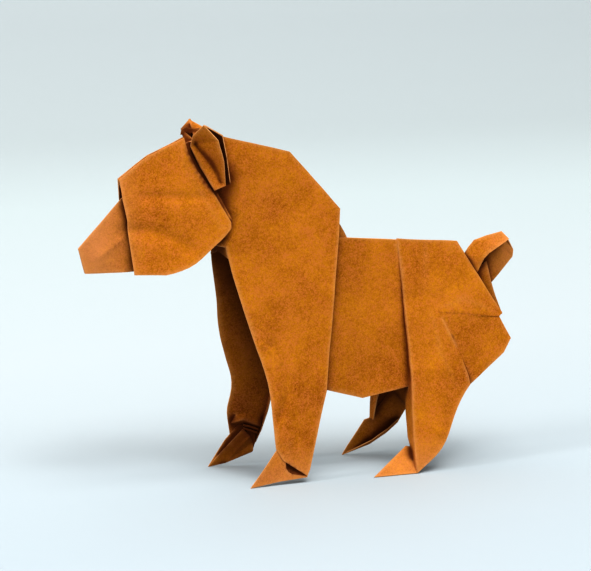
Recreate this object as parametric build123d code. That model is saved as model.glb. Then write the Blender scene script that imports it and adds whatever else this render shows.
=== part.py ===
from build123d import *
import os

import numpy as np

os.makedirs("parts", exist_ok=True)

# A walking bear folded from one square of paper. Its head lies towards -X, its left side
# towards -Y, and its feet stand on the plane of the origin, below the middle of its length.

# main sizes, millimetres
body_length = 80.6      # throat to the back of the rump
neck_height = 88.8      # floor to the ridge of the neck
back_height = 61.6      # floor to the ridge of the back
front_stance = 25.0     # between the front toes
rear_stance = 26.0      # between the hind toes
belly_width = 11.4      # across the two flanks at the belly
head_length = 38.4      # ears to the tip of the nose, with the cheeks' back corners
head_depth = 33.9       # crown to jaw
snout_width = 6.6       # across the snout where the cheeks cover it
cheek_brow = 0.9        # half width of the head at the brow
cheek_back_flare = 4.0  # what each cheek gains from the brow to the ears
cheek_jaw_flare = 6.1   # what each cheek gains from the crown to the jaw
ear_height = 17.1
ear_spacing = 15.0      # between the tips
tail_length = 17.3
tail_width = 4.6

# paper
paper = 0.3             # two plies pressed together
fold_width = 0.4        # flat crest where the paper turns back on itself
tuck = 0.2              # an under layer lies this far inside the layer that holds it
lift = 0.65             # and this far inside it along its free edge
flush = 0.04            # layers that look like one surface
margin = 1.4            # hem turned in along a leg
flatness = paper / 1e7  # corners this close to a plane lie in it

# where the pieces meet along the body
hump_x = -0.0546 * body_length
crown_x = hump_x - 0.351 * body_length
crown_z = 1.007 * neck_height
rump_x = hump_x + 0.583 * body_length
rump_z = 0.958 * back_height


# folding the sheet
def facing(loop):
    """Unit normal of a loop of corners."""
    turn = Vector(0, 0, 0)
    for a, b in zip(loop, loop[1:] + loop[:1]):
        turn += a.cross(b)
    return turn.normalized()


def size_of(loop):
    """Area of a loop of corners."""
    turn = Vector(0, 0, 0)
    for a, b in zip(loop, loop[1:] + loop[:1]):
        turn += a.cross(b)
    return turn.length / 2


def key(p):
    return (round(p.X, 4), round(p.Y, 4), round(p.Z, 4))


def triangles(loop):
    """Cut a loop into triangles, one free corner at a time."""
    up, left, cut = facing(loop), list(range(len(loop))), []

    def turn(i, j, k):
        return (loop[j] - loop[i]).cross(loop[k] - loop[j]).dot(up)

    while len(left) > 3:
        best = None
        for n in range(len(left)):
            i, j, k = left[n - 1], left[n], left[(n + 1) % len(left)]
            inside = [m for m in left if m not in (i, j, k)
                      and turn(i, j, m) >= 0 and turn(j, k, m) >= 0 and turn(k, i, m) >= 0]
            if turn(i, j, k) > 0 and not inside:
                longest = max((loop[i] - loop[k]).length, (loop[j] - loop[k]).length)
                if best is None or longest < best[0]:
                    best = (longest, n, (i, j, k))
        cut.append(best[2])
        left.pop(best[1])
    return cut + [tuple(left)]


def outline_faces(loop, cut=None):
    """One flat face, or triangles where the corners don't share a plane."""
    up = facing(loop)
    if all(abs((p - loop[0]).dot(up)) < flatness for p in loop):
        return [Face(Wire.make_polygon(loop))]
    return [Face(Wire.make_polygon([loop[i] for i in ring])) for ring in cut or triangles(loop)]


def corner_shift(walls):
    """How far the outer face of the paper lies from a corner: the widest panels that meet there
    keep their full thickness."""
    kept, shift = [], None
    for area, wall in sorted(walls, key=lambda w: -w[0]):
        rows = np.array([list(w) for w in kept + [wall]])
        trial = Vector(*np.linalg.lstsq(rows, np.full(len(rows), paper / 2), rcond=None)[0])
        exact = all(abs(trial.dot(w) - paper / 2) < flatness for w in kept + [wall])
        if exact and trial.length < 1.1 * paper:
            kept.append(wall)
            shift = trial
    return shift


def fold(panels):
    """Thicken panels that share their fold lines into one folded sheet."""
    panels = [list(loop) for loop in panels]
    rims = [[(key(a), key(b)) for a, b in zip(loop, loop[1:] + loop[:1])] for loop in panels]
    turned = [0]
    for i in turned:
        for j in range(len(panels)):
            back = [(b, a) for a, b in reversed(rims[j])]
            if j not in turned and set(rims[i]) & set(rims[j] + back):
                if set(rims[i]) & set(rims[j]):
                    panels[j].reverse()
                    rims[j] = back
                turned.append(j)
    walls, spots = {}, {}
    for loop in panels:
        for p in loop:
            walls.setdefault(key(p), []).append((size_of(loop), facing(loop)))
            spots[key(p)] = p
    shifts = {k: corner_shift(w) for k, w in walls.items()}
    faces = []
    for loop in panels:
        cut = triangles(loop)
        for way in (1, -1):
            faces += outline_faces([p + way * shifts[key(p)] for p in loop], cut)
    edges = {edge for rim in rims for edge in rim}
    for a, b in edges:
        if (b, a) not in edges:
            p, q = spots[a], spots[b]
            faces += outline_faces([p + shifts[a], q + shifts[b], q - shifts[b], p - shifts[a]])
    return Solid(Shell(faces))


def soft(points, steps=3):
    """Points along a smooth curve through the given ones."""
    curve = Edge.make_spline(points)
    count = steps * (len(points) - 1)
    return [points[0]] + [curve @ (n / count) for n in range(1, count)] + [points[-1]]


def flank(side, shares, crest, foot, height, half_stance, inset=0):
    """Places on one flank of a tent: it leans out from the crest to the foot."""
    (x0, z0), (x1, z1) = crest

    def crest_z(x):
        return z0 + (x - x0) * (z1 - z0) / (x1 - x0)

    places = []
    for x, z in shares:
        lean = (crest_z(x) - z) / crest_z(foot)
        y = fold_width / 2 + (half_stance - fold_width / 2) * lean - inset
        places.append(Vector(hump_x + x * body_length, side * y, z * height))
    return places


def middle(shares, height, y=0):
    """Places on the median plane, or beside it."""
    return [Vector(hump_x + x * body_length, y, z * height) for x, z in shares]


def strip(line, inner):
    """Triangles between two lines with as many corners."""
    made = []
    for n in range(len(line) - 1):
        made += [[line[n], line[n + 1], inner[n + 1]], [line[n], inner[n + 1], inner[n]]]
    return made


# shoulders, neck and front legs
shoulder_crest_shares = [(-0.223, 1.0045), (0.0, 0.954)]
front_toe_share = -0.180
hip_edge_shares = [(0.166, 0.783), (0.159, 0.705), (0.134, 0.550), (0.090, 0.262)]
pleat_middle_shares = [(0.136, 0.768), (0.118, 0.685)]
pleat_flank_shares = [(0.081, 0.541), (0.031, 0.265)]
near_hem_shares = [(0.054, 0.149), (0.020, 0.036)]
near_sole_shares = [(0.011, 0.020), (-0.070, 0.071), (-0.092, 0.106)]
near_shin_shares = [(-0.092, 0.106), (-0.098, 0.190), (-0.109, 0.292), (-0.146, 0.409),
                    (-0.190, 0.541), (-0.221, 0.660)]
near_throat_share = (-0.227, 0.692)
far_hem_shares = [(0.025, 0.262), (-0.025, 0.236), (-0.039, 0.167), (-0.058, 0.107), (-0.071, 0.066)]
far_sole_shares = [(-0.112, 0.074), (-0.156, 0.090)]
far_shin_shares = [(-0.156, 0.090), (-0.165, 0.140), (-0.169, 0.173), (-0.160, 0.226),
                   (-0.161, 0.275), (-0.179, 0.329), (-0.201, 0.394), (-0.215, 0.459),
                   (-0.221, 0.512), (-0.231, 0.574), (-0.243, 0.660)]
far_throat_share = (-0.241, 0.709)
neck_middle_shares = [(-0.335, 0.995), (-0.509, 0.908)]
neck_side_share = (-0.471, 0.743)
neck_side_width = 1.6
nape_share = (-0.239, 0.927)
nape_crease_shares = [(-0.206, 0.914), (-0.163, 0.837), (-0.171, 0.787), (-0.194, 0.743)]
nape_inner_shares = [(-0.265, 0.815), (-0.255, 0.723)]     # tucked in behind the cheek
nape_inner_width = 1.6
nape_inner_width_shares = [0.4, 1.0]
web_shares = [(-0.254, 0.726), (-0.237, 0.677)]


def on_shoulder(side, shares, inset=0):
    return flank(side, shares, shoulder_crest_shares, front_toe_share, neck_height,
                 front_stance / 2, inset)


def front_leg(side):
    """Outline of one leg below the flank: hem, sole and shin, from the hip round to the throat."""
    if side < 0:
        hem, sole = near_hem_shares, near_sole_shares
        shin, throat = near_shin_shares, near_throat_share
    else:
        hem, sole = far_hem_shares, far_sole_shares
        shin, throat = far_shin_shares, far_throat_share
    hem, sole = on_shoulder(side, hem), on_shoulder(side, sole)
    shin, throat = soft(on_shoulder(side, shin)), on_shoulder(side, [throat])[0]
    return hem, sole, shin, throat


def shoulders():
    """The tent of the neck and hump, which runs down into both front legs."""
    near, far = {}, {}
    panels, hems = [], []
    pleat = middle(pleat_middle_shares, neck_height)
    web = middle(web_shares, neck_height)
    for side, at in ((-1, near), (1, far)):
        at["crest"] = crest = on_shoulder(side, shoulder_crest_shares)
        at["hip"] = hip = on_shoulder(side, hip_edge_shares)
        hem, sole, shin, at["throat"] = front_leg(side)
        at["chin"] = shin[-1]
        at["nape"], at["tucked"] = [], []
        if side < 0:
            # behind the ear the flank creases and turns in to the head
            at["nape"] = on_shoulder(side, [nape_share])
            crease = on_shoulder(side, nape_crease_shares)
            at["tucked"] = [middle([share], neck_height, side * width * nape_inner_width)[0]
                            for share, width in zip(nape_inner_shares, nape_inner_width_shares)]
            panels.append(crest + hip + hem + sole[:-1] + shin + [at["throat"]] + crease[::-1] + at["nape"])
            high, low = at["tucked"]
            panels += [[at["nape"][0], crease[0], high], [crease[0], crease[1], high],
                       [crease[1], crease[2], high], [crease[2], low, high],
                       [crease[2], crease[3], low], [crease[3], at["throat"], low]]
        else:
            panels.append(crest + hip + hem + sole + shin[1:] + [at["throat"]])
        # the pleat that leads in from the hip to the flank of the belly, and the hem of the leg
        at["inner"] = pleat + on_belly(side, pleat_flank_shares, neck_height, -tuck)
        turned = [p - Vector(0, side * margin, 0) for p in hem]
        turned[-1] += Vector(0, side * (margin - tuck), 0)
        hems.append(fold([[hip[-1], hem[0], turned[0]], [hip[-1], turned[0], at["inner"][-1]]]
                         + strip(hem, turned)))
        # the neck runs on into the head
        at["poll"], at["brow"] = middle(neck_middle_shares, neck_height, side * fold_width / 2)
        at["side"] = middle([neck_side_share], neck_height, side * neck_side_width)[0]
    panels.append(near["crest"] + far["crest"][::-1])
    panels.append([near["crest"][1], near["hip"][0], far["hip"][0], far["crest"][1]])
    core = [[near["crest"][0], near["poll"], far["poll"], far["crest"][0]],
            [near["poll"], near["brow"], far["brow"], far["poll"]]]
    for at in (near, far):
        upper = at["crest"][:1] + at["nape"] + at["tucked"][:1]     # meets the top of the head
        lower = upper[-1:] + at["tucked"][1:] + [at["throat"]]      # meets its side
        core += [[a, at["poll"], b] for a, b in zip(upper, upper[1:])]
        core += [[upper[-1], at["poll"], at["side"]], [at["poll"], at["brow"], at["side"]]]
        core += [[a, at["side"], b] for a, b in zip(lower, lower[1:])]
    pleats = [strip(at["hip"], at["inner"]) for at in (near, far)]
    webs = [[[at["throat"], at["chin"], web[1]], [at["throat"], web[1], web[0]]] for at in (near, far)]
    closing = [[near["hip"][0], pleat[0], far["hip"][0]]]
    return [fold(p) for p in [panels, core, closing] + pleats + webs] + hems


# front feet, each a flap drawn out of the leg and folded along its sole
near_foot_shares = [(-0.078, 0.115), (-0.043, 0.119), (-0.060, 0.068), (-0.060, 0.048), (-0.053, 0.037),
                    (-0.040, 0.029), (-0.005, 0.0215), (0.011, 0.021), (0.012, 0.016), (-0.084, 0.011)]
near_foot_inner_shares = [(-0.006, 0.051), (-0.074, 0.104)]
near_toe_share = (-0.184, 0.0005)
far_foot_shares = [(-0.081, 0.038), (-0.072, 0.066), (-0.074, 0.118), (-0.129, 0.130), (-0.176, 0.080)]
far_foot_inner_shares = [(-0.079, 0.045), (-0.082, 0.070), (-0.094, 0.092), (-0.119, 0.116), (-0.174, 0.059)]
far_sole_share = (-0.170, 0.008)
far_toe_share = (-0.228, 0.0005)
ankle_bulge_shares = [[(-0.140, 0.160), (-0.105, 0.163), (-0.052, 0.148)],
                      [(-0.157, 0.138), (-0.118, 0.145), (-0.061, 0.121)],
                      [(-0.152, 0.130), (-0.114, 0.131), (-0.064, 0.112)]]
ankle_bulge_depth_shares = [0, 1, 0.25]
ankle_pleat_shares = [[(-0.117, 0.129), (-0.090, 0.1215), (-0.066, 0.111)],
                      [(-0.116, 0.119), (-0.089, 0.109), (-0.069, 0.101)]]
ankle_depth = 1.1       # how far the ankle of the far leg stands from it, towards the near leg
foot_depth = 3.0        # how far the inner side of a front foot stands from the outer


def near_front_foot():
    toe = on_shoulder(-1, [near_toe_share])[0]
    outer = on_shoulder(-1, near_foot_shares, tuck)
    heel, arch = outer[-2:]
    inner = [p + Vector(0, foot_depth / 2, 0) for p in on_shoulder(-1, near_foot_inner_shares)]
    return [fold([[toe] + outer]),
            fold([[toe, arch, inner[1]], [arch, heel, inner[0]], [arch, inner[0], inner[1]]])]


def far_ankle():
    """The leg swells above the ankle, and two small pleats cross it below."""
    lines = [on_shoulder(1, line, share * ankle_depth)
             for line, share in zip(ankle_bulge_shares, ankle_bulge_depth_shares)]
    sheets = [fold(strip(lines[0], lines[1]) + strip(lines[1], lines[2]))]
    for line in ankle_pleat_shares:
        crest = on_shoulder(1, line, ankle_depth)
        lip = [p - Vector(0, 0, fold_width) for p in crest]
        sheets.append(fold(strip(on_shoulder(1, line), crest) + strip(crest, lip)))
    return sheets


def far_front_foot():
    toe = on_shoulder(1, [far_toe_share])[0]
    arch = on_shoulder(1, [far_sole_share])[0]
    outer = on_shoulder(1, far_foot_shares, tuck)
    depths = [margin / 2, margin / 2, margin, margin, margin / 2]
    inner = [p - Vector(0, d, 0) for p, d in zip(on_shoulder(1, far_foot_inner_shares), depths)]
    panels = [[toe, arch, inner[4]], [arch, outer[0], inner[0]]]
    panels += [[arch, inner[n], inner[n + 1]] for n in range(4)]
    return [fold([[toe, arch] + outer]), fold(panels)]


# belly
belly_crest_shares = [(0.062, 1.018), (0.471, 0.964)]
belly_foot_share = 0.228
belly_edge_shares = [(0.440, 0.381), (0.406, 0.360), (0.228, 0.322), (0.111, 0.364), (0.006, 0.398)]
fin_shares = [(0.112, 1.097), (0.176, 1.060), (0.190, 1.029), (0.201, 0.999), (0.112, 0.998)]


def on_belly(side, shares, height=None, inset=0):
    """Places on the belly's flank; shares of another height are given that height."""
    shares = [(x, z * height / back_height) if height else (x, z) for x, z in shares]
    drop = 1 - belly_edge_shares[2][1]
    return flank(side, shares, belly_crest_shares, belly_foot_share, back_height,
                 belly_width / 2 / drop, inset)


def belly():
    """The tent of the back and belly, with the ply that stands up behind the hump."""
    near, far = [on_belly(side, belly_crest_shares + belly_edge_shares) for side in (-1, 1)]
    sheet = fold([near, far, [near[0], near[1], far[1], far[0]]])
    return [sheet, fold([middle(fin_shares, back_height)])]


# rump and hind legs
rump_crest_shares = [(0.373, 0.982), (0.583, 0.958)]
hind_toe_share = 0.236
rump_edge_shares = [(0.602, 0.920), (0.731, 0.647), (0.718, 0.631), (0.608, 0.648), (0.504, 0.666),
                    (0.561, 0.511), (0.592, 0.394)]
near_hock_shares = [(0.597, 0.354), (0.557, 0.287), (0.524, 0.209), (0.501, 0.144), (0.476, 0.093),
                    (0.435, 0.047), (0.387, 0.002)]
far_hock_shares = [(0.597, 0.354), (0.545, 0.287), (0.490, 0.237), (0.462, 0.205), (0.434, 0.140),
                   (0.395, 0.091), (0.350, 0.055)]
near_shank_shares = [(0.383, 0.141), (0.391, 0.370), (0.383, 0.726)]
far_shank_shares = [(0.335, 0.166), (0.330, 0.271), (0.342, 0.381), (0.383, 0.726)]
recess_shares = [(0.558, 0.929), (0.645, 0.633)]
shank_margin = 6.0      # widest hem turned in along the shank
near_margin_shares = [0.10, 0.70, 1.0, 0.43]    # foot to back
far_margin_shares = [0.43, 0.77, 1.03, 0.43]


def on_rump(side, shares, inset=0):
    return flank(side, shares, rump_crest_shares, hind_toe_share, back_height, rear_stance / 2, inset)


def rump():
    """The tent of the rump, which runs down into both hind legs."""
    panels, crests, folded = [], [], []
    recess = middle(recess_shares, back_height)
    for side in (-1, 1):
        crest = on_rump(side, rump_crest_shares)
        edge = on_rump(side, rump_edge_shares)
        hock = soft(on_rump(side, near_hock_shares if side < 0 else far_hock_shares), 2)
        shank = on_rump(side, near_shank_shares if side < 0 else far_shank_shares)
        panels.append(crest + edge + hock + shank)
        line = [hock[-1]] + shank if side < 0 else shank
        widths = near_margin_shares if side < 0 else far_margin_shares
        inner = [p - Vector(0, side * w * shank_margin, 0) for p, w in zip(line, widths)]
        folded.append(fold(strip(line, inner) + [[line[-1], crest[0], inner[-1]]]))
        folded.append(fold([[crest[1], edge[0], recess[0]], [edge[0], edge[1], recess[1]],
                            [edge[0], recess[1], recess[0]]]))
        crests.append(crest)
    near, far = crests
    return [fold(panels + [near + far[::-1]])] + folded


# lower rump, an under layer of each flank that closes in behind
lower_tucked_shares = [(0.596, 0.714), (0.478, 0.666), (0.496, 0.503), (0.553, 0.341)]
lower_free_shares = [(0.597, 0.349), (0.674, 0.424), (0.728, 0.477), (0.757, 0.534), (0.715, 0.643)]
lower_recess_shares = [(0.583, 0.463), (0.658, 0.536), (0.664, 0.641)]
lower_level_share = 0.70    # at this height the layer is level with the flank
lower_sink = 1.95       # and this much deeper a whole back height lower


def on_lower_rump(side, shares):
    return [on_rump(side, [s], flush + (lower_level_share - s[1]) * lower_sink)[0] for s in shares]


def lower_rump(side):
    held = on_lower_rump(side, lower_tucked_shares)
    free = on_lower_rump(side, lower_free_shares)
    recess = middle(lower_recess_shares, back_height, side * fold_width)
    return [fold([held + free]),
            fold([[free[4], free[3], recess[1]], [free[4], recess[1], recess[2]],
                  [free[3], free[2], recess[1]], [free[2], free[1], recess[0]],
                  [free[2], recess[0], recess[1]]])]


# hind feet
near_paw_shares = [(0.236, 0.0020), (0.387, 0.002), (0.402, 0.096), (0.369, 0.103)]
near_paw_inset_shares = [0.03, 0.03, 0.67, 0.64]    # of the hem that the foot hangs from
near_paw_inner_shares = [(0.385, 0.052), (0.329, 0.055)]
far_paw_shares = [(0.244, 0.0019), (0.340, 0.044), (0.395, 0.091), (0.434, 0.140), (0.462, 0.211),
                  (0.400, 0.300), (0.330, 0.166), (0.314, 0.160), (0.263, 0.050)]
far_paw_inner_shares = [(0.340, 0.066), (0.393, 0.116), (0.430, 0.166)]
paw_depth = 1.6


def near_hind_foot():
    outer = [on_rump(-1, [s], w * shank_margin)[0] for s, w in zip(near_paw_shares, near_paw_inset_shares)]
    inner = on_rump(-1, near_paw_inner_shares, shank_margin * near_paw_inset_shares[2])
    toe, heel = outer[:2]
    return [fold([outer]), fold([[toe, heel, inner[1]], [heel, inner[0], inner[1]]])]


def far_hind_foot():
    outer = on_rump(1, far_paw_shares, tuck)
    inner = [p - Vector(0, paw_depth, 0) for p in on_rump(1, far_paw_inner_shares)]
    return [fold([outer]), fold([[outer[0], outer[1], inner[0]]] + strip(outer[1:4], inner))]


# head
cheek_crest_shares = [(-0.440, -0.295), (-0.326, -0.195), (-0.240, -0.124), (0.0, 0.0)]
cheek_back_shares = [(0.023, -0.112), (0.076, -0.245), (0.169, -0.398), (0.281, -0.631), (0.279, -0.676)]
cheek_jaw_shares = [(0.279, -0.676), (0.211, -0.758), (0.120, -0.841), (0.049, -0.906), (-0.073, -0.971),
                    (-0.176, -1.0)]
cheek_front_shares = [(-0.385, -0.988), (-0.396, -0.870), (-0.409, -0.732), (-0.411, -0.593),
                      (-0.432, -0.442)]
lining_shares = [(0.031, -0.034), (0.044, -0.105), (0.100, -0.235), (0.194, -0.389), (0.294, -0.618),
                 (0.288, -0.658)]
lining_root_shares = [(-0.030, -0.060), (-0.020, -0.130), (0.020, -0.265), (0.100, -0.420), (0.190, -0.610),
                      (0.210, -0.670)]
groove_shares = [(-0.430, -0.360), (-0.310, -0.271), (-0.224, -0.201), (0.010, -0.083)]
# along, down, and half width as a share of the snout's
snout_shares = {"nose": (-0.720, -0.796, 0), "lip": (-0.677, -0.982, 0.12),
                "jaw": (-0.414, -0.976, 0.67), "root": (-0.253, -0.968, 0.88),
                "side": (-0.214, -0.690, 0.67), "bridge": (-0.266, -0.245, 0)}


def on_head(x, y, z):
    return Vector(crown_x + x * head_length, y, crown_z + z * head_depth)


def on_cheek(side, shares, inset=0):
    brow_x, brow_z = cheek_crest_shares[0]
    return [on_head(x, side * (cheek_brow + (x - brow_x) * cheek_back_flare
                               + (brow_z - z) * cheek_jaw_flare - inset), z) for x, z in shares]


def cheeks():
    """Both cheeks, each with a ply beneath its back edge, joined by the groove along the head."""
    groove = [on_head(x, 0, z) for x, z in groove_shares]
    sheets = []
    for side in (-1, 1):
        crest = on_cheek(side, cheek_crest_shares)
        jaw = soft(on_cheek(side, cheek_jaw_shares), 2)
        rim = [p - Vector(0, side * fold_width, 0) for p in crest]
        cheek = crest + on_cheek(side, cheek_back_shares)[:-1] + jaw + on_cheek(side, cheek_front_shares)
        sheets.append(fold([cheek] + strip(crest, rim)))
        lining = on_cheek(side, lining_root_shares, tuck)
        sheets += [fold(strip(rim, groove)), fold(strip(lining, on_cheek(side, lining_shares, lift)))]
    return sheets


def snout():
    panels, sides = [], []
    for side in (-1, 1):
        p = {}
        for name, (x, y, z) in {n: (s[0], s[2], s[1]) for n, s in snout_shares.items()}.items():
            p[name] = on_head(x, side * max(y * snout_width / 2, fold_width / 2), z)
        panels += [[p["nose"], p["lip"], p["jaw"]], [p["nose"], p["jaw"], p["bridge"]],
                   [p["jaw"], p["root"], p["side"]], [p["jaw"], p["side"], p["bridge"]]]
        sides.append(p)
    near, far = sides
    panels += [[near["nose"], near["bridge"], far["bridge"], far["nose"]],
               [near["nose"], near["lip"], far["lip"], far["nose"]]]
    return fold(panels)


# ears, along, out and up from the crown
ear_shares = {"tip": (0.19, 1.0, 0.23), "brow": (0.10, 0.45, 0.05), "front": (0.08, 0.29, -0.12),
              "cheek": (0.20, 0.40, -0.41), "lobe": (0.39, 0.67, -0.77)}
far_ear_shares = {"tip": (0.23, 1.0, 0.23), "brow": (0.04, 0.61, 0.11), "front": (0.06, 0.29, -0.11),
                  "cheek": (0.26, 0.48, -0.42), "lobe": (0.40, 0.67, -0.77)}
ear_rim_shares = [(0.42, 0.93, -0.02), (0.44, 0.93, -0.11), (0.51, 0.87, -0.33), (0.56, 0.73, -0.70)]
ear_crease_shares = [(0.16, 0.35, -0.08), (0.37, 0.56, -0.40), (0.50, 0.68, -0.65)]
ear_back_shares = [(0.21, 1.0, 0.22), (0.51, 0.75, 0.04), (0.57, 0.72, -0.29), (0.64, 0.61, -0.68)]
ear_root_shares = [(0.18, 0.04, -0.05), (0.49, 0.13, -0.43), (0.57, 0.21, -0.74)]


far_roll_shares = [(0.012, 0.45, 0.028), (0.03, 0.45, 0.11), (0.103, 0.45, 0.14), (0.211, 0.45, 0.106),
                   (0.312, 0.45, 0.11), (0.288, 0.45, 0.033), (0.164, 0.45, 0.045),
                   (0.102, 0.45, 0.08), (0.055, 0.45, 0.027)]


def on_ear(side, share):
    x, y, z = share
    return Vector(crown_x + x * ear_height, side * y * ear_spacing / 2, crown_z + z * ear_height)


def ear(side):
    """A hollow flap: its front and back part at the rim and meet on the neck."""
    front = {name: on_ear(side, s) for name, s in (ear_shares if side < 0 else far_ear_shares).items()}
    tip, brow, edge, cheek, lobe = [front[n] for n in ("tip", "brow", "front", "cheek", "lobe")]
    rim, crease, back, root = [[on_ear(side, s) for s in shares] for shares in
                               (ear_rim_shares, ear_crease_shares, ear_back_shares, ear_root_shares)]
    cup = [[tip, brow, crease[0]], [brow, edge, crease[0]], [tip, crease[0], rim[0]],
           [crease[0], crease[1], rim[1]], [crease[0], rim[1], rim[0]],
           [crease[1], crease[2], rim[2]], [crease[1], rim[2], rim[1]], [crease[2], rim[3], rim[2]],
           [edge, cheek, crease[1]], [edge, crease[1], crease[0]],
           [cheek, lobe, crease[2]], [cheek, crease[2], crease[1]], [lobe, rim[3], crease[2]]]
    inside = [[brow, edge, root[0]]] + strip([edge, cheek, lobe], root)
    behind = [[back[0], back[1], root[0]]] + strip(back[1:], root)
    return [fold(cup), fold(inside), fold(behind)]


def far_ear_roll():
    """The front edge of the far ear, turned over where it starts from the crown."""
    return fold([[on_ear(1, share) for share in far_roll_shares]])


# tail, along, out and up from the top of the rump
tail_crest_shares = [(0.13, 0.0, -0.20), (0.20, 0.0, -0.09), (0.29, 0.0, 0.01), (0.49, 0.0, 0.07),
                     (0.75, 0.0, 0.12)]
tail_root_share = (0.0, 0.0, -0.35)
near_tail_shares = [(0.38, 0.78, -0.35), (0.42, 0.87, -0.26), (0.49, 0.96, -0.18), (0.64, 0.96, -0.09),
                    (0.84, 0.65, 0.01)]
near_tail_base_share = (0.29, 0.52, -0.58)
far_tail_shares = [(0.66, 0.87, -0.68), (1.01, 1.0, -0.30), (1.02, 0.96, -0.20), (0.89, 0.26, -0.04)]
far_tail_base_share = (0.29, 0.61, -0.75)
tail_strip_shares = [(0.50, -0.09, -0.31), (0.60, -0.09, -0.66), (0.69, -0.09, -0.92),
                     (0.79, -0.09, -1.17), (0.67, -0.09, -1.20), (0.23, 0.09, -1.10),
                     (0.12, 0.13, -0.52), (0.43, -0.04, -0.37)]


def on_tail(side, share):
    x, y, z = share
    return Vector(rump_x + x * tail_length, side * y * tail_width / 2, rump_z + z * tail_length)


def tail():
    """A pointed flap folded along its crest, and the strip that runs on down the rump."""
    crest = [on_tail(-1, s) for s in tail_crest_shares]
    root = on_tail(-1, tail_root_share)
    near = [on_tail(-1, s) for s in near_tail_shares]
    far = [on_tail(1, s) for s in far_tail_shares]
    near_base, far_base = on_tail(-1, near_tail_base_share), on_tail(1, far_tail_base_share)
    near_face = strip(crest, near) + [[crest[0], near[0], near_base], [crest[0], near_base, root]]
    far_face = [[crest[4], far[3], far[2]], [crest[4], far[2], far[1]], [crest[3], crest[4], far[1]],
                [crest[3], far[1], far[0]], [crest[2], crest[3], far[0]], [crest[1], crest[2], far[0]],
                [crest[1], far[0], far_base], [crest[0], crest[1], far_base], [crest[0], far_base, root]]
    return [fold(near_face), fold(far_face), fold([[on_tail(1, s) for s in tail_strip_shares]])]


def bear():
    sheets = shoulders() + near_front_foot() + far_ankle() + far_front_foot() + belly() + rump()
    sheets += lower_rump(-1) + lower_rump(1) + near_hind_foot() + far_hind_foot()
    return sheets + cheeks() + [snout()] + ear(-1) + ear(1) + [far_ear_roll()] + tail()


if __name__ == "__main__":
    sheets = bear()
    whole = sheets[0].fuse(*sheets[1:])
    solids = whole.solids()
    print("solids", len(solids), "volume", round(whole.volume, 1), "faces", len(whole.faces()))
    export_step(whole if len(solids) > 1 else solids[0], "parts/folded_bear.step")
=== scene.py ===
import math

import bmesh
import bpy
from mathutils import Matrix, Vector, kdtree, noise
from mathutils.bvhtree import BVHTree


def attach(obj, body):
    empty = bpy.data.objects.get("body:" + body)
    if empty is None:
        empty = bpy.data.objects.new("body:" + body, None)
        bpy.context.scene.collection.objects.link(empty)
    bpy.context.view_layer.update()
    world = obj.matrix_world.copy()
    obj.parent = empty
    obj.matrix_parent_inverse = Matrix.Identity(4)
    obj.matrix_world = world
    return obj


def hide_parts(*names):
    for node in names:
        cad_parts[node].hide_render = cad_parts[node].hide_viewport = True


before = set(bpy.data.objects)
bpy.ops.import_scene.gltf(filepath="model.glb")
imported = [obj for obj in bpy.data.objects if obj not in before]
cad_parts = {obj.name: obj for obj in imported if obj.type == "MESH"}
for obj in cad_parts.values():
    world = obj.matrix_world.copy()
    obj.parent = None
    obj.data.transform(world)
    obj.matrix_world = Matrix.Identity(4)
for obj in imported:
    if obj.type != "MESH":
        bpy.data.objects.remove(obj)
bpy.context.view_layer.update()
scene = bpy.context.scene
mm = 0.001


# camera, at the photograph's angle
cameraSetup = {
    "place": (-203.3, -566.9, 155.8),   # mm
    "target": (-2.63, 0.0, 49.78),
    "lens": 143.2,
    "sensor": 36.0,
    "clip": (0.05, 20),                 # m
}


def makeCamera():
    data = bpy.data.cameras.new("camera")
    data.lens = cameraSetup["lens"]
    data.sensor_width = cameraSetup["sensor"]
    data.clip_start, data.clip_end = cameraSetup["clip"]
    camera = bpy.data.objects.new("camera", data)
    place = Vector(cameraSetup["place"]) * mm
    camera.location = place
    camera.rotation_mode = "QUATERNION"
    camera.rotation_quaternion = (Vector(cameraSetup["target"]) * mm - place).to_track_quat("-Z", "Y")
    scene.collection.objects.link(camera)
    scene.camera = camera
    print("camera placed")


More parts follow.
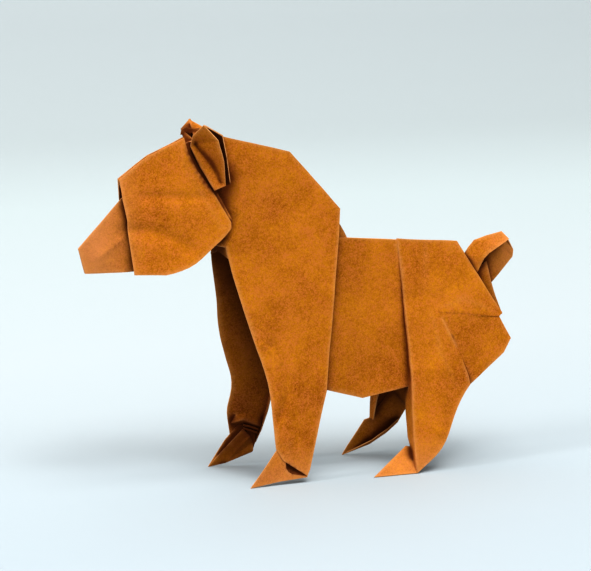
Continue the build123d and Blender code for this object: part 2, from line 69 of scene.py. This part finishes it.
bearSetup = {
    # mesh
    "weld": 2e-7,          # m; corners nearer to each other than this become one
    "sliver": 1e-7,        # m; edges shorter than this go
    "foldAngle": 9,        # degrees; a sharper edge is a fold or a cut edge
    "fine": 0.9,           # mm, longest mesh edge along folds
    "coarse": 2.0,         # and in the middle of a panel
    "pressed": 0.74,       # and beside the soft folds
    "growth": 1.0,         # by how much edges lengthen for each mm away from a fold
    "foldStep": 0.25,      # mm between the points that stand for a fold
    "passes": 9,           # of refining, at most
    "flatAngle": 1,        # degrees; an edge flatter than this may be turned
    "relax": 3,            # passes that even out the points inside a panel
    # paper
    "rimWidth": 0.4,       # mm; a narrower strip is the cut or folded edge of the paper
    "waves": [(13.0, 0.22), (5.0, 0.05)],   # size and depth of the paper's waves, mm
    "seed": 11,            # for the waves, so that they are the same each run
    "feetStill": 5.0,      # mm above the floor where the waves reach their full depth
    "edgeReach": 0.35,     # mm that the paler wear and painted highlight of a fold reaches
    "edgeStep": 0.2,       # mm between the points that stand for a worn fold
    "wornAngle": 50,       # degrees; blunter folds show no wear or painted highlight
    # painted shade between layers
    "shadeReach": 26.0,     # mm; other paper this near darkens a point with painted shade
    "nookRays": 22,
    "shadeLift": 0.05,      # mm off the paper where the first ray starts
    "shadeEven": 2,         # passes that even out the painted shade
    "slit": 0.45,          # mm; paper closer than this to other paper gets the full painted shade
    "skyShare": 0.40,      # paper that sees less of the room above it than this is painted darker, as painted shade
    # plies pressed flat on each other along these lines, (x, z) in mm, so that no painted shade and no wear
    # or painted highlight show there
    "closedJoints": [[(35.4, 41.1), (42.1, 40.4), (54.5, 39.1)], [(41.2, 30.5), (47.0, 24.0)]],
    "jointReach": (0.7, 2.0),   # mm from the line where the painted shade starts and is full
    "jointFacing": 0.3,         # only on paper that faces the side at least this much
    # the near flank's plane beside the first of them, y = a + b x + c z, and the step closed there
    "flank": (-13.40, 0.0177, 0.2083),
    "flankFrom": 30,       # mm, x
    "step": (-0.03, 0.17),
    "stepReach": 2.2,
    # paler paper, from the first figure to the second
    "paleSnout": (-44.0, -56.0),   # mm, x
    "paleFeet": (10.0, 3.0),       # mm, z, on the near side
    "paleTail": (49.0, 57.0),      # mm, x
    "tailFrom": 50,                # mm, z
    "paleEnds": 0.6,               # strength at feet and tail, beside 1 at the snout
    # painted shade spots, the last one negative and so painted light: middle and reach in mm, strength
    "shadeSpots": [((-30.5, 4.0, 91.0), 3.6, 0.34), ((-26.0, -4.5, 84.0), 4.0, 0.20),
               ((-22.5, -3.0, 74.0), 3.8, 0.28), ((-19.8, -1.6, 79.5), 3.0, 0.24),
               ((-17.0, 10.0, 6.0), 9.0, 0.26), ((-49.5, -1.5, 62.5), 4.5, -0.28)],
    # soft folds pressed into the near side: line as (x, z), width and height in mm, sharpness (2 is round)
    "folds": {
        "snout": ([(-55.1, 60.6), (-53.3, 62.0), (-51.7, 63.2), (-48.4, 65.6)], 1.5, 0.45, 1.0),
        "brow": ([(-43.6, 74.9), (-39.8, 75.0), (-33.5, 74.6), (-28.4, 74.4)], 1.5, -0.42, 2.0),
        "cheek": ([(-48.4, 66.4), (-45.4, 66.6), (-42.9, 66.5), (-39.1, 65.4), (-35.4, 63.7), (-33.0, 61.7)],
                  2.0, -0.60, 2.0),
        "neck": ([(-17.7, 73.5), (-18.3, 71.7), (-19.1, 69.7)], 0.6, 0.25, 1.4),
        "shin": ([(-11.7, 35.3), (-9.4, 31.3), (-8.0, 26.8), (-7.9, 23.0), (-8.9, 20.0), (-10.1, 17.3)],
                 1.4, -0.55, 1.4),
        "shinTop": ([(-14.4, 36.2), (-11.7, 34.3), (-9.4, 31.3)], 0.7, 0.25, 1.4),
        "rump": ([(27.9, 58.4), (32.3, 51.3), (36.1, 41.4)], 0.7, -0.14, 1.0),
        "haunch": ([(28.0, 44.7), (32.4, 45.5), (36.6, 44.2)], 2.2, -0.22, 2.0),
        "hock": ([(35.2, 26.1), (35.6, 19.6), (34.0, 10.7)], 2.2, 0.40, 2.0),
        "ear": ([(-30.0, 88.1), (-28.6, 86.1), (-26.5, 83.3), (-24.9, 80.3), (-24.2, 78.2)],
                1.1, -1.30, 1.0),
    },
    "foldShade": {"ear": 0.40, "rump": 0.16, "shin": 0.06},   # painted shade in the bottom of some
    "foldReach": 3,        # widths from its line where a soft fold ends
    "foldMesh": 1.2,       # widths from its line where the finer mesh ends
    "foldFade": (0.2, 0.9),  # mm from the middle of the bear, where the soft folds fade in
}


def partWay(value, start, end):
    # how far the value has come from start to end, 0 to 1
    return min(1, max(0, (value - start) / (end - start)))


def weldedCopy(source):
    bm = bmesh.new()
    bm.from_mesh(source.data)
    bmesh.ops.remove_doubles(bm, verts=bm.verts[:], dist=bearSetup["weld"])
    bmesh.ops.dissolve_degenerate(bm, edges=bm.edges[:], dist=bearSetup["sliver"])
    sharp = math.radians(bearSetup["foldAngle"])
    for edge in bm.edges:
        edge.seam = len(edge.link_faces) != 2 or edge.calc_face_angle() > sharp   # a seam is a fold here
    return bm


def panelsOf(bm):
    # groups of faces with no fold between them
    left, panels = set(bm.faces), []
    while left:
        panel, queue = [], [left.pop()]
        while queue:
            face = queue.pop()
            panel.append(face)
            for edge in face.edges:
                if not edge.seam:
                    for other in edge.link_faces:
                        if other in left:
                            left.remove(other)
                            queue.append(other)
        panels.append(panel)
    return panels


def markRims(bm):
    rim = bm.faces.layers.float.new("paperRim")
    for panel in panelsOf(bm):
        area = sum(face.calc_area() for face in panel)
        outline = sum(e.calc_length() for face in panel for e in face.edges if e.seam)
        if 2 * area / outline < bearSetup["rimWidth"] * mm:
            for face in panel:
                face[rim] = 1


def pointsAlong(edges, step):
    points = []
    for edge in edges:
        a, b = edge.verts[0].co, edge.verts[1].co
        count = max(1, math.ceil((b - a).length / step))
        points += [a.lerp(b, n / count) for n in range(count + 1)]
    return points


def treeOf(points):
    tree = kdtree.KDTree(len(points))
    for n, point in enumerate(points):
        tree.insert(point, n)
    tree.balance()
    return tree


def awayFrom(line, x, z):
    nearest = math.inf
    for (ax, az), (bx, bz) in zip(line, line[1:]):
        dx, dz = bx - ax, bz - az
        t = min(1, max(0, ((x - ax) * dx + (z - az) * dz) / (dx * dx + dz * dz)))
        nearest = min(nearest, math.hypot(x - ax - t * dx, z - az - t * dz))
    return nearest


def cellOf(x, z):
    return math.floor(x), math.floor(z)


def cellsNear(line, reach):
    # whole-mm cells that lie near the line
    half, corner = 0.5, 0.7   # mm from a cell's side and from its corner to its middle
    xs, zs = [p[0] for p in line], [p[1] for p in line]
    wide = math.ceil(reach) + 1
    return {(i, j) for i in range(math.floor(min(xs)) - wide, math.ceil(max(xs)) + wide)
            for j in range(math.floor(min(zs)) - wide, math.ceil(max(zs)) + wide)
            if awayFrom(line, i + half, j + half) < reach + corner}


folds = bearSetup["folds"]
foldCells = {name: cellsNear(fold[0], bearSetup["foldReach"] * fold[1]) for name, fold in folds.items()}
meshCells = set().union(*(cellsNear(fold[0], bearSetup["foldMesh"] * fold[1]) for fold in folds.values()))


def longestAt(point, away):
    # longest mesh edge at a point that is this far from the nearest fold
    longest = bearSetup["fine"] * mm + bearSetup["growth"] * away
    x, y, z = point / mm
    if y < -bearSetup["foldFade"][0] and cellOf(x, z) in meshCells:
        longest = min(longest, bearSetup["pressed"] * mm)
    return min(longest, bearSetup["coarse"] * mm)


def dropPockets(bm):
    # faces on the same three corners close nothing in, so they go in pairs
    same = {}
    for face in bm.faces:
        same.setdefault(frozenset(face.verts), []).append(face)
    doubled = [face for faces in same.values() for face in faces[len(faces) % 2:]]
    if doubled:
        bmesh.ops.delete(bm, geom=doubled, context="FACES")


def refineSheet(bm):
    # short edges beside the folds, longer ones in the middle of a panel
    creases = treeOf(pointsAlong([e for e in bm.edges if e.seam], bearSetup["foldStep"] * mm))
    flatAngle = math.radians(bearSetup["flatAngle"])
    for _ in range(bearSetup["passes"]):
        tooLong = []
        for edge in bm.edges:
            middle = (edge.verts[0].co + edge.verts[1].co) / 2
            if edge.calc_length() > longestAt(middle, creases.find(middle)[2]):
                tooLong.append(edge)
        if not tooLong:
            break
        bmesh.ops.subdivide_edges(bm, edges=tooLong, cuts=1)
        bmesh.ops.triangulate(bm, faces=[f for f in bm.faces if len(f.verts) > 3])
        flat = [e for e in bm.edges if not e.seam and len(e.link_faces) == 2
                and e.calc_face_angle() < flatAngle]
        bmesh.ops.beautify_fill(bm, faces=bm.faces[:], edges=flat, method="ANGLE")
        dropPockets(bm)
    free = [v for v in bm.verts if not any(e.seam for e in v.link_edges)]
    for _ in range(bearSetup["relax"]):
        places = [sum((e.other_vert(v).co for e in v.link_edges), Vector()) / len(v.link_edges)
                  for v in free]
        for vert, place in zip(free, places):
            vert.co = place
    print("sheet refined to", len(bm.faces), "faces")


def markWearAndHighlight(bm):
    # the raised folds and edges are paler, partly rubbed and partly a painted highlight
    worn = math.radians(bearSetup["wornAngle"])
    ridges = treeOf(pointsAlong([e for e in bm.edges if e.seam and e.is_convex
                                 and e.calc_face_angle() > worn], bearSetup["edgeStep"] * mm))
    layer = bm.verts.layers.float.new("foldWearAndHighlight")
    for vert in bm.verts:
        vert[layer] = math.exp(-ridges.find(vert.co)[2] / (bearSetup["edgeReach"] * mm))


def smoothPanels(bm):
    for edge in bm.edges:
        edge.smooth = not edge.seam
        edge.seam = False
    for face in bm.faces:
        face.smooth = True
    bm.normal_update()
    bm.verts.index_update()


def raySpread():
    # directions spread evenly over a dome round +Z, more of them near its top
    count = bearSetup["nookRays"]
    turn = math.pi * (3 - math.sqrt(5))   # the golden angle
    spread = []
    for n in range(count):
        out = math.sqrt((n + 0.5) / count)
        spread.append(Vector((out * math.cos(n * turn), out * math.sin(n * turn), math.sqrt(1 - out * out))))
    return spread


def occlusionShadeAt(vert, tree, spread):
    # share of its outlook that a point loses to other paper, painted on as shade
    slit, reach = bearSetup["slit"] * mm, bearSetup["shadeReach"] * mm
    lifted = vert.co + vert.normal * bearSetup["shadeLift"] * mm
    if tree.ray_cast(lifted, vert.normal, slit)[3] is not None:
        return 1.0
    side = vert.normal.orthogonal().normalized()
    turn = Matrix((side, vert.normal.cross(side), vert.normal)).transposed()
    start = vert.co + vert.normal * slit
    lost, sky = 0.0, 0.0
    for way in spread:
        way = turn @ way
        far = tree.ray_cast(start, way)[3]
        if far is None:
            sky += way.z > 0
        elif far < reach:
            lost += 1 - far / reach
    return lost / len(spread) + max(0, bearSetup["skyShare"] - sky / len(spread))


def closeJoints(bm, shade):
    # no painted shade and no wear or painted highlight where plies are pressed flat on each other
    wearAndHighlight = bm.verts.layers.float["foldWearAndHighlight"]
    for vert in bm.verts:
        x, y, z = vert.co / mm
        if y < 0 < x and abs(vert.normal.y) > bearSetup["jointFacing"]:
            away = min(awayFrom(line, x, z) for line in bearSetup["closedJoints"])
            share = partWay(away, *bearSetup["jointReach"])
            shade[vert.index] *= share
            vert[wearAndHighlight] *= share


def evened(bm, values):
    # each point takes the mean of itself and its neighbours
    return [(values[v.index] + sum(values[e.other_vert(v).index] for e in v.link_edges))
            / (1 + len(v.link_edges)) for v in bm.verts]


# painted shade at the listed spots and in the bottom of some soft folds; a negative strength paints light
def extraPaintedShadeAt(point):
    extraShade = sum(strength * math.exp(-((point - Vector(middle)).length / wide) ** 2)
                for middle, wide, strength in bearSetup["shadeSpots"])
    if point.y < -bearSetup["foldFade"][1]:
        for name, shade in bearSetup["foldShade"].items():
            line, width = folds[name][:2]
            if cellOf(point.x, point.z) in foldCells[name]:
                # half as wide as the fold itself
                extraShade += shade * math.exp(-(2 * awayFrom(line, point.x, point.z) / width) ** 2)
    return extraShade


def paleAt(point):
    snout = partWay(point.x, *bearSetup["paleSnout"])
    foot = partWay(point.z, *bearSetup["paleFeet"]) if point.y < 0 else 0
    tail = partWay(point.x, *bearSetup["paleTail"]) if point.z > bearSetup["tailFrom"] else 0
    return max(snout, bearSetup["paleEnds"] * foot, bearSetup["paleEnds"] * tail)


def markPaintedShade(bm):
    # painted shade and paler places, kept at each point for the material
    tree = BVHTree.FromBMesh(bm)
    spread = raySpread()
    shade = [occlusionShadeAt(vert, tree, spread) for vert in bm.verts]
    closeJoints(bm, shade)
    for _ in range(bearSetup["shadeEven"]):
        shade = evened(bm, shade)
    nook = bm.verts.layers.float.new("nook")
    pale = bm.verts.layers.float.new("pale")
    for vert in bm.verts:
        point = vert.co / mm
        vert[nook] = shade[vert.index] + extraPaintedShadeAt(point)
        vert[pale] = paleAt(point)
    print("shade between layers", round(sum(shade) / len(shade), 3), "on average")


def levelAt(point):
    # closes the small step where the lower layer of the rump meets the flank
    x, y, z = point / mm
    a, b, c = bearSetup["flank"]
    low, high = bearSetup["step"]
    deeper = y - (a + b * x + c * z)
    if x < bearSetup["flankFrom"] or not low < deeper < high:
        return Vector()
    away = awayFrom(bearSetup["closedJoints"][0], x, z) / bearSetup["stepReach"]
    return Vector((0, -deeper * max(0, 1 - away ** 2) * mm, 0))


def waveAt(point):
    move = Vector()
    for size, depth in bearSetup["waves"]:
        move += noise.noise_vector(point / (size * mm)) * depth * mm
    still = partWay(point.z, 0, bearSetup["feetStill"] * mm)
    return move * still * still * (3 - 2 * still)


def pressAt(point):
    x, y, z = point / mm
    fade = partWay(-y, *bearSetup["foldFade"])
    if not fade:
        return Vector()
    out = 0.0
    for name, (line, width, height, sharpness) in folds.items():
        if cellOf(x, z) in foldCells[name]:
            out += height * math.exp(-(awayFrom(line, x, z) / width) ** sharpness)
    return Vector((0, -out * fade * mm, 0))


def makeBear():
    bm = weldedCopy(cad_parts["folded_bear"])
    print("welded", len(bm.faces), "open edges", sum(len(e.link_faces) != 2 for e in bm.edges))
    markRims(bm)
    refineSheet(bm)
    markWearAndHighlight(bm)
    smoothPanels(bm)
    markPaintedShade(bm)
    noise.seed_set(bearSetup["seed"])
    for vert in bm.verts:
        vert.co += levelAt(vert.co)
        vert.co += waveAt(vert.co) + pressAt(vert.co)
    mesh = bpy.data.meshes.new("foldedBear")
    bm.to_mesh(mesh)
    bm.free()
    bear = bpy.data.objects.new("foldedBear", mesh)
    scene.collection.objects.link(bear)
    print("bear", len(mesh.polygons), "triangles")
    return bear


def socketIn(group, name, kind):
    group.interface.new_socket(name=name, in_out="INPUT", socket_type=kind)


def socketOut(group, name, kind):
    group.interface.new_socket(name=name, in_out="OUTPUT", socket_type=kind)


def addNode(tree, kind, place, settings=None, inputs=None):
    node = tree.nodes.new(kind)
    node.location = place
    for name, value in (settings or {}).items():
        setattr(node, name, value)
    for name, value in (inputs or {}).items():
        node.inputs[name].default_value = value
    return node


paperLook = {
    "dark": (0.265, 0.086, 0.002, 1),
    "light": (0.480, 0.196, 0.011, 1),
    "rosy": (0.48, 0.168, 0.042, 1),
    "pale": (0.56, 0.26, 0.12, 1),
    # worn: paler paper of real wear, also a painted highlight on raised folds and cut edges
    "worn": (0.60, 0.30, 0.12, 1),
    "paintedShadeColour": (0.10, 0.022, 0.004, 1),   # painted shade colour, where other paper shuts the point in
    "cloud": 60.0,         # noise cells in a metre
    "blotch": 230.0,
    "grain": 1150.0,
    "fleck": 2600.0,
    "tone": (1.55, 0.85, 1.05, 1.4),   # weights of cloud, blotch, grain and fleck in light and dark
    "pink": (1.7, 0.7, 2.4),           # weights of the second blotch, fleck and second fleck
    "rosyFrom": 0.30,      # pink value where rosy paper starts
    "rosyMost": 0.75,      # and the share of it at the value 1
    "second": (0.31, 0.17, 0.53),      # m from the first noise to the second
    "paleness": 0.50,
    "foldWearAndHighlight": 0.42,
    "rimWearAndHighlight": 0.70,
    "paintedShadeFrom": (0.08, 0.66),          # painted shade values where the dark starts and is full
    "paintedShadeStrength": 0.92,
    "roughness": 0.85,
    "gloss": 0.06,
    "bump": 0.35,
    "bumpDepth": 0.05,     # mm
}


def weighted(group, parts, place):
    # sum of (value - 0.5) * weight over the parts, about 0.5
    link = group.links.new
    total = None
    for n, (socket, weight) in enumerate(parts):
        step = addNode(group, "ShaderNodeMath", (place[0] + 180 * n, place[1]), {"operation": "MULTIPLY_ADD"})
        step.inputs[1].default_value = weight
        link(socket, step.inputs[0])
        if total is None:
            step.inputs[2].default_value = 0.5 - 0.5 * sum(w for _, w in parts)
        else:
            link(total, step.inputs[2])
        total = step.outputs[0]
    return total


def mottleGroup():
    # clouds, blotches, grain and short pale fibres, as in hand-made paper
    look = paperLook
    group = bpy.data.node_groups.new("paperMottle", "ShaderNodeTree")
    socketIn(group, "Place", "NodeSocketVector")
    for name in ("Cloud", "Blotch", "Grain", "Fleck"):
        socketIn(group, name, "NodeSocketFloat")
    for name in ("Dark", "Light", "Rosy"):
        socketIn(group, name, "NodeSocketColor")
    socketOut(group, "Colour", "NodeSocketColor")
    socketOut(group, "Height", "NodeSocketFloat")
    start = addNode(group, "NodeGroupInput", (-1300, 0))
    end = addNode(group, "NodeGroupOutput", (900, 0))
    link = group.links.new

    def noiseOf(name, y, place=None, **inputs):
        node = addNode(group, "ShaderNodeTexNoise", (-900, y), inputs=inputs)
        link(place or start.outputs["Place"], node.inputs["Vector"])
        link(start.outputs[name], node.inputs["Scale"])
        return node.outputs["Fac"]

    moved = addNode(group, "ShaderNodeVectorMath", (-1100, -500), {"operation": "ADD"})
    moved.inputs[1].default_value = look["second"]
    link(start.outputs["Place"], moved.inputs[0])
    cloud = noiseOf("Cloud", 400, Detail=2.0, Roughness=0.5)
    blotch = noiseOf("Blotch", 150, Detail=3.0, Roughness=0.65)
    grain = noiseOf("Grain", -100, Detail=2.0, Roughness=0.7)
    fleck = noiseOf("Fleck", -350, Detail=1.0, Roughness=0.6, Distortion=1.2)
    hue = noiseOf("Blotch", -600, moved.outputs[0], Detail=5.0, Roughness=0.75)
    speck = noiseOf("Fleck", -850, moved.outputs[0], Detail=1.0, Roughness=0.6)
    tone = weighted(group, list(zip((cloud, blotch, grain, fleck), look["tone"])), (-600, 250))
    pink = weighted(group, list(zip((hue, fleck, speck), look["pink"])), (-600, -300))
    base = addNode(group, "ShaderNodeMix", (200, 200), {"data_type": "RGBA", "clamp_factor": False})
    link(tone, base.inputs["Factor"])
    link(start.outputs["Dark"], base.inputs["A"])
    link(start.outputs["Light"], base.inputs["B"])
    share = addNode(group, "ShaderNodeMapRange", (200, -250), {"clamp": True},
                    {"From Min": look["rosyFrom"], "To Max": look["rosyMost"]})
    link(pink, share.inputs["Value"])
    both = addNode(group, "ShaderNodeMix", (450, 100), {"data_type": "RGBA"})
    link(share.outputs[0], both.inputs["Factor"])
    link(base.outputs["Result"], both.inputs["A"])
    link(start.outputs["Rosy"], both.inputs["B"])
    link(both.outputs["Result"], end.inputs["Colour"])
    link(tone, end.inputs["Height"])
    return group


def makePaper():
    look = paperLook
    material = bpy.data.materials.new("orangeBrownPaper")
    material.use_nodes = True
    tree = material.node_tree
    tree.nodes.clear()
    link = tree.links.new

    def markOf(name, y):
        return addNode(tree, "ShaderNodeAttribute", (-800, y), {"attribute_name": name}).outputs["Fac"]

    def scaled(socket, factor, y):
        node = addNode(tree, "ShaderNodeMath", (-560, y), {"operation": "MULTIPLY"})
        node.inputs[1].default_value = factor
        link(socket, node.inputs[0])
        return node.outputs[0]

    def mixedTo(colour, socket, share, place):
        node = addNode(tree, "ShaderNodeMix", place, {"data_type": "RGBA"})
        link(share, node.inputs["Factor"])
        link(socket, node.inputs["A"])
        node.inputs["B"].default_value = colour
        return node.outputs["Result"]

    place = addNode(tree, "ShaderNodeTexCoord", (-1100, 0))
    mottle = addNode(tree, "ShaderNodeGroup", (-800, 100), {"node_tree": mottleGroup()})
    for name in ("Dark", "Light", "Rosy", "Cloud", "Blotch", "Grain", "Fleck"):
        mottle.inputs[name].default_value = look[name.lower()]
    link(place.outputs["Object"], mottle.inputs["Place"])

    # paler ends, then rubbed folds and cut edges with a painted highlight, then painted shade between layers
    paleness = scaled(markOf("pale", -850), look["paleness"], -850)
    colour = mixedTo(look["pale"], mottle.outputs["Colour"], paleness, (-480, 150))
    # cut edges and raised folds: paler wear with a painted highlight
    edges = addNode(tree, "ShaderNodeMath", (-430, -350), {"operation": "MULTIPLY_ADD", "use_clamp": True})
    edges.inputs[1].default_value = look["rimWearAndHighlight"]
    link(markOf("paperRim", -450), edges.inputs[0])
    link(scaled(markOf("foldWearAndHighlight", -250), look["foldWearAndHighlight"], -250), edges.inputs[2])
    colour = mixedTo(look["worn"], colour, edges.outputs[0], (-300, 50))
    paintedShadeMask = addNode(tree, "ShaderNodeMapRange", (-560, -650), {"interpolation_type": "SMOOTHSTEP"},
                   {"From Min": look["paintedShadeFrom"][0], "From Max": look["paintedShadeFrom"][1],
                    "To Max": look["paintedShadeStrength"]})
    link(markOf("nook", -650), paintedShadeMask.inputs["Value"])
    # painted shade: the dark colour mixed in where other paper shuts the paper in
    colour = mixedTo(look["paintedShadeColour"], colour, paintedShadeMask.outputs[0], (-120, 50))

    bump = addNode(tree, "ShaderNodeBump", (-300, -250),
                   inputs={"Strength": look["bump"], "Distance": look["bumpDepth"] * mm})
    link(mottle.outputs["Height"], bump.inputs["Height"])
    shader = addNode(tree, "ShaderNodeBsdfPrincipled", (100, 0),
                     inputs={"Roughness": look["roughness"], "Specular IOR Level": look["gloss"]})
    link(colour, shader.inputs["Base Color"])
    link(bump.outputs["Normal"], shader.inputs["Normal"])
    end = addNode(tree, "ShaderNodeOutputMaterial", (400, 0))
    link(shader.outputs[0], end.inputs["Surface"])
    print("paper ready")
    return material


studio = {
    # one sheet runs from the floor up into the backdrop; sizes in m
    "depth": 1.25,
    "front": -1.2,
    "width": 3.2,
    "bend": 0.5,
    "bendSteps": 18,
    "height": 1.4,
    # colour of the sweep at these distances behind the bear, m: painted light and shade, darker in front of
    # the bear and towards the backdrop, lighter between
    "floor": [(-0.06, (0.370, 0.413, 0.437)), (0.16, (0.421, 0.456, 0.468)),
              (0.5, (0.448, 0.493, 0.497)), (0.75, (0.432, 0.470, 0.475)), (0.97, (0.393, 0.426, 0.434))],
    "roughness": 0.7,
    "gloss": 0.2,
    "world": (1.0, 1.0, 1.0, 1),
    "worldPower": 0.86,
    # name, direction to the lamp, distance, shape, size, power
    "lamps": [("leftLamp", (-0.87, -0.17, 0.46), 1.6, "DISK", 0.30, 10.0),
              ("rightLamp", (0.133, -0.443, 0.886), 2.0, "DISK", 0.45, 7.5),
              ("softTop", (0.02, -0.42, 1.0), 2.4, "SQUARE", 1.8, 67.0),
              ("backTop", (0.0, 0.5, 1.0), 2.4, "SQUARE", 1.8, 13.0)],
    "lampAim": (0, 0, 0.04),   # m, the point that all of them face
    # tone of the picture: darks are deepened a little
    "tone": [(0.0, 0.0), (0.05, 0.0175), (0.15, 0.077), (0.3, 0.197), (0.5, 0.392), (0.75, 0.678),
             (1.0, 1.0)],
}


def makeSweep():
    depth, radius, steps = studio["depth"], studio["bend"], studio["bendSteps"]
    angles = [math.radians(90 / steps * n) for n in range(1, steps + 1)]
    profile = [(studio["front"], 0.0), (depth - radius, 0.0)]
    profile += [(depth - radius + radius * math.sin(a), radius - radius * math.cos(a)) for a in angles]
    profile += [(depth, studio["height"])]
    verts = [(x, y, z) for y, z in profile for x in (-studio["width"] / 2, studio["width"] / 2)]
    faces = [(2 * n, 2 * n + 1, 2 * n + 3, 2 * n + 2) for n in range(len(profile) - 1)]
    mesh = bpy.data.meshes.new("sweep")
    mesh.from_pydata(verts, [], faces)
    for face in mesh.polygons:
        face.use_smooth = True
    mesh.materials.append(makeFloorPaint())
    sweep = bpy.data.objects.new("sweep", mesh)
    scene.collection.objects.link(sweep)


def makeFloorPaint():
    material = bpy.data.materials.new("paleFloor")
    material.use_nodes = True
    tree = material.node_tree
    link = tree.links.new
    shader = tree.nodes["Principled BSDF"]
    first, last = studio["floor"][0][0], studio["floor"][-1][0]
    place = addNode(tree, "ShaderNodeTexCoord", (-1000, 200))
    parts = addNode(tree, "ShaderNodeSeparateXYZ", (-800, 200))
    # painted light and shade: the sweep's colour changes with distance behind the bear
    span = addNode(tree, "ShaderNodeMapRange", (-600, 200), inputs={"From Min": first, "From Max": last})
    ramp = addNode(tree, "ShaderNodeValToRGB", (-400, 200))
    stops = ramp.color_ramp.elements
    stops.remove(stops[1])
    for n, (y, colour) in enumerate(studio["floor"]):
        share = (y - first) / (last - first)
        stop = stops.new(share) if n else stops[0]
        stop.position, stop.color = share, (*colour, 1)
    link(place.outputs["Object"], parts.inputs[0])
    link(parts.outputs["Y"], span.inputs["Value"])
    link(span.outputs[0], ramp.inputs["Fac"])
    link(ramp.outputs["Color"], shader.inputs["Base Color"])
    shader.inputs["Roughness"].default_value = studio["roughness"]
    shader.inputs["Specular IOR Level"].default_value = studio["gloss"]
    return material


def makeLight():
    world = bpy.data.worlds.new("softRoom")
    scene.world = world
    world.use_nodes = True
    world.node_tree.nodes["Background"].inputs["Color"].default_value = studio["world"]
    world.node_tree.nodes["Background"].inputs["Strength"].default_value = studio["worldPower"]
    for name, way, far, shape, size, power in studio["lamps"]:
        data = bpy.data.lights.new(name, "AREA")
        data.shape = shape
        data.size = size
        data.energy = power
        lamp = bpy.data.objects.new(name, data)
        way = Vector(way).normalized()
        lamp.location = way * far + Vector(studio["lampAim"])
        lamp.rotation_mode = "QUATERNION"
        lamp.rotation_quaternion = (-way).to_track_quat("-Z", "Y")
        scene.collection.objects.link(lamp)
    print("studio lit by", len(studio["lamps"]), "lamps")


def setTone():
    view = scene.view_settings
    view.view_transform = "Standard"
    view.use_curve_mapping = True
    curve = view.curve_mapping.curves[3]   # the one for all three colours
    first, last = studio["tone"][0], studio["tone"][-1]
    curve.points[0].location, curve.points[1].location = first, last
    for x, y in studio["tone"][1:-1]:
        curve.points.new(x, y)
    view.curve_mapping.update()


makeCamera()
setTone()
bear = makeBear()
bear.data.materials.append(makePaper())
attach(bear, "root")
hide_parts("folded_bear")
makeSweep()
makeLight()
